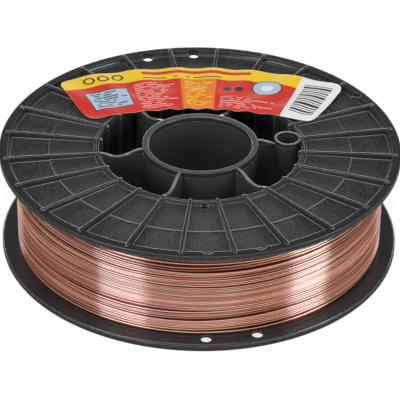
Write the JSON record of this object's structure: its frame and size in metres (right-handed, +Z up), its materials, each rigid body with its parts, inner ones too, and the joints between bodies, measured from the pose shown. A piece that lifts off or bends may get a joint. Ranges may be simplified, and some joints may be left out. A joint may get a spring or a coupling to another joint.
{
  "type": "welding wire spool",
  "caption": "Flanged plastic spool wound with copper-coated welding wire, with a spindle bore, an offset drive hole and a printed label on the upper flange.",
  "frame": {"origin": "on the spindle axis, at the level the lower flange's ribs and the bore tube rest on", "axes": "+Z up along the spindle bore, +X towards the drive hole"},
  "size_m": [0.2, 0.2, 0.0551],
  "materials": {
    "spool_plastic": "moulded black plastic, semi-gloss",
    "copper_wire": "drawn steel wire with a bright copper coating",
    "label_paper": "coated printed paper"
  },
  "bodies": {
    "root": {"spool": "spool_plastic", "wire_winding": "copper_wire", "label": "label_paper"}
  },
  "joints": []
}
